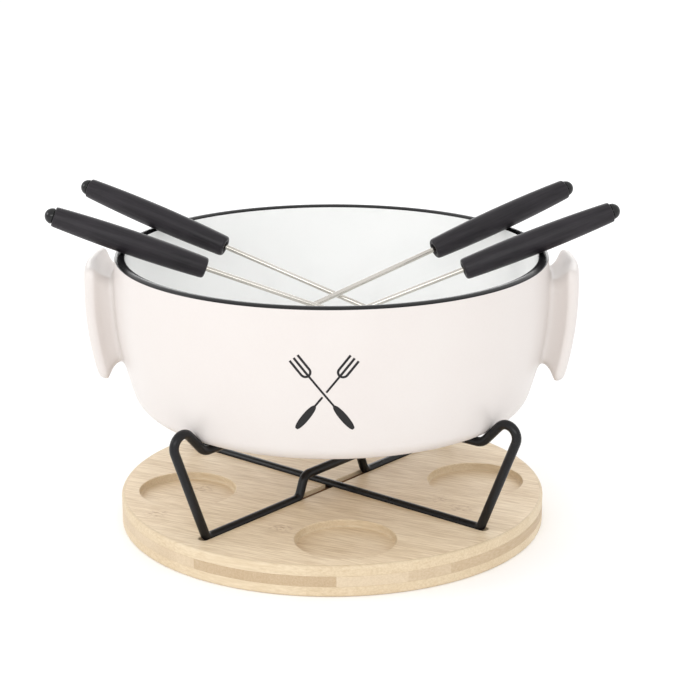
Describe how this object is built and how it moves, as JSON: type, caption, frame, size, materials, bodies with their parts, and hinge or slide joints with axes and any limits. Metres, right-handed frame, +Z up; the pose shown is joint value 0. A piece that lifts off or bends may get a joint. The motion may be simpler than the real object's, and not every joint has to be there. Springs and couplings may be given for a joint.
{
  "type": "fondue pot set",
  "caption": "Fondue set: round ceramic pot with side lugs on a crossed black wire stand let into a round bamboo board with dish recesses, with forks resting in the pot.",
  "frame": {"origin": "centre of the board's underside, on the pot's axis", "axes": "+Z up, X through the pot's two lugs, the cap of the longest-reaching front fork towards -X"},
  "size_m": [0.3181, 0.2419, 0.1833],
  "materials": {
    "bamboo_face": "oiled satin bamboo, fine long grain",
    "bamboo_core": "oiled satin bamboo, cross grain shown on the edge",
    "coated_wire": "matt black powder coat",
    "pot_glaze": "cream glaze, satin outside and glossy inside, with a black rim",
    "handle_black": "matt dark grey",
    "cap_black": "glossy black",
    "steel": "polished stainless steel"
  },
  "bodies": {
    "board": {"board_base_ply": "bamboo_face", "board_core_ply": "bamboo_core", "board_top_ply": "bamboo_face"},
    "lower_frame": {"stand_frame_lower": "coated_wire"},
    "bridge_frame": {"stand_frame_bridge": "coated_wire"},
    "pot": {"pot": "pot_glaze"},
    "fork_1": {"fork_1_handle": "handle_black", "fork_1_cap": "cap_black", "fork_1_prongs": "steel"},
    "fork_2": {"fork_2_handle": "handle_black", "fork_2_cap": "cap_black", "fork_2_prongs": "steel"},
    "fork_3": {"fork_3_handle": "handle_black", "fork_3_cap": "cap_black", "fork_3_prongs": "steel"},
    "fork_4": {"fork_4_handle": "handle_black", "fork_4_cap": "cap_black", "fork_4_prongs": "steel"}
  },
  "joints": [
    {"name": "lower_frame_lift", "type": "slide", "parent": "board", "child": "lower_frame", "axis": [0, 0, 1], "range_m": [0, 0.06]},
    {"name": "bridge_frame_lift", "type": "slide", "parent": "lower_frame", "child": "bridge_frame", "axis": [0, 0, 1], "range_m": [0, 0.075]},
    {"name": "pot_lift", "type": "slide", "parent": "bridge_frame", "child": "pot", "axis": [0, 0, 1], "range_m": [0, 0.1]},
    {"name": "fork_1_draw_out", "type": "slide", "parent": "pot", "child": "fork_1", "axis": [-0.9314, -0.093, 0.3518], "range_m": [0, 0.235]},
    {"name": "fork_2_draw_out", "type": "slide", "parent": "pot", "child": "fork_2", "axis": [-0.9126, 0.2241, 0.342], "range_m": [0, 0.235]},
    {"name": "fork_3_draw_out", "type": "slide", "parent": "pot", "child": "fork_3", "axis": [0.875, 0.3553, 0.3289], "range_m": [0, 0.235]},
    {"name": "fork_4_draw_out", "type": "slide", "parent": "pot", "child": "fork_4", "axis": [0.9272, 0.1702, 0.3338], "range_m": [0, 0.235]}
  ]
}
